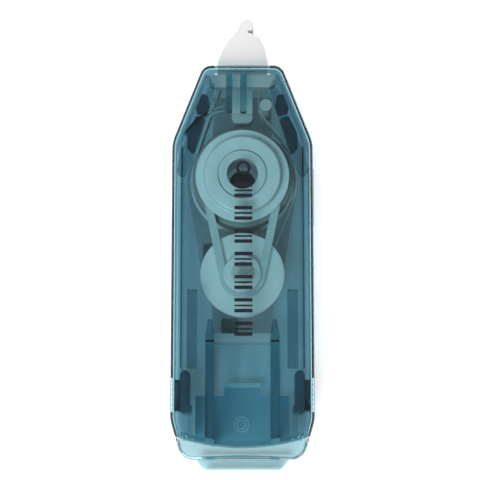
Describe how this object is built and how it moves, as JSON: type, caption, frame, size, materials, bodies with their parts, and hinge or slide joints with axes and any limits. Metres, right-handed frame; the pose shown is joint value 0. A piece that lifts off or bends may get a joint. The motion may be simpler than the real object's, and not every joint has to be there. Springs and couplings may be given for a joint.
{
  "type": "correction tape roller",
  "caption": "Pocket correction tape roller: tinted clear case, slide-out cartridge with belt-driven reels, hooked white tip, side release arms.",
  "frame": {"origin": "middle of the overall length, on the centre line of the case, on the back face it lies on", "axes": "+X to the side with the grip ridges, +Y towards the applicator tip, +Z out of the front face"},
  "size_m": [0.0302, 0.0978, 0.015],
  "materials": {
    "case_front": "clear tinted, glossy",
    "case_back": "clear tinted, glossy",
    "holder": "clear tinted, satin",
    "release": "clear tinted, satin",
    "frame_plastic": "milky",
    "tip_plastic": "smooth white",
    "post_plastic": "smooth white",
    "reel_plastic": "milky",
    "pulley_plastic": "satin white",
    "belt_rubber": "pale elastomer",
    "clutch_rubber": "dark elastomer",
    "tape_white": "matt white coating",
    "film": "bare carrier film"
  },
  "bodies": {
    "case": {"front_shell": "case_front", "back_shell": "case_back"},
    "holder": {"refill_holder": "holder", "refill_frame": "frame_plastic", "applicator_tip": "tip_plastic", "guide_post": "post_plastic", "supply_retainer": "pulley_plastic", "takeup_retainer": "pulley_plastic", "drive_belt": "belt_rubber", "correction_tape_run": "tape_white", "spent_tape_run": "film"},
    "supply": {"supply_reel": "reel_plastic", "correction_tape_roll": "tape_white"},
    "pulley": {"drive_pulley": "pulley_plastic", "clutch_ring": "clutch_rubber"},
    "takeup": {"takeup_reel": "reel_plastic", "takeup_pulley": "pulley_plastic", "spent_tape_roll": "film"},
    "arm_left": {"release_arm_left": "release"},
    "arm_right": {"release_arm_right": "release"}
  },
  "joints": [
    {"name": "holder_slide", "type": "slide", "parent": "case", "child": "holder", "axis": [0, -1, 0], "range_m": [0, 0.0935], "deforming": ["release_arm_left", "release_arm_right"]},
    {"name": "supply_spin", "type": "hinge", "parent": "holder", "child": "supply", "pos_m": [0, 0.01348, 0], "axis": [0, 0, -1], "continuous": true},
    {"name": "pulley_spin", "type": "hinge", "parent": "holder", "child": "pulley", "pos_m": [0, 0.01348, 0], "axis": [0, 0, -1], "continuous": true},
    {"name": "takeup_spin", "type": "hinge", "parent": "holder", "child": "takeup", "pos_m": [0, -0.00773, 0], "axis": [0, 0, -1], "continuous": true},
    {"name": "release_left", "type": "hinge", "parent": "holder", "child": "arm_left", "pos_m": [-0.011, -0.04172, 0.0075], "axis": [0, 0, -1], "range_deg": [0, 8], "stiffness_Nm_per_rad": 0.3},
    {"name": "release_right", "type": "hinge", "parent": "holder", "child": "arm_right", "pos_m": [0.011, -0.04172, 0.0075], "axis": [0, 0, 1], "range_deg": [0, 8], "stiffness_Nm_per_rad": 0.3}
  ],
  "couplings": [
    {"joint": "pulley_spin", "follows": "supply_spin", "ratio": 1},
    {"joint": "takeup_spin", "follows": "supply_spin", "ratio": 2.0366}
  ]
}
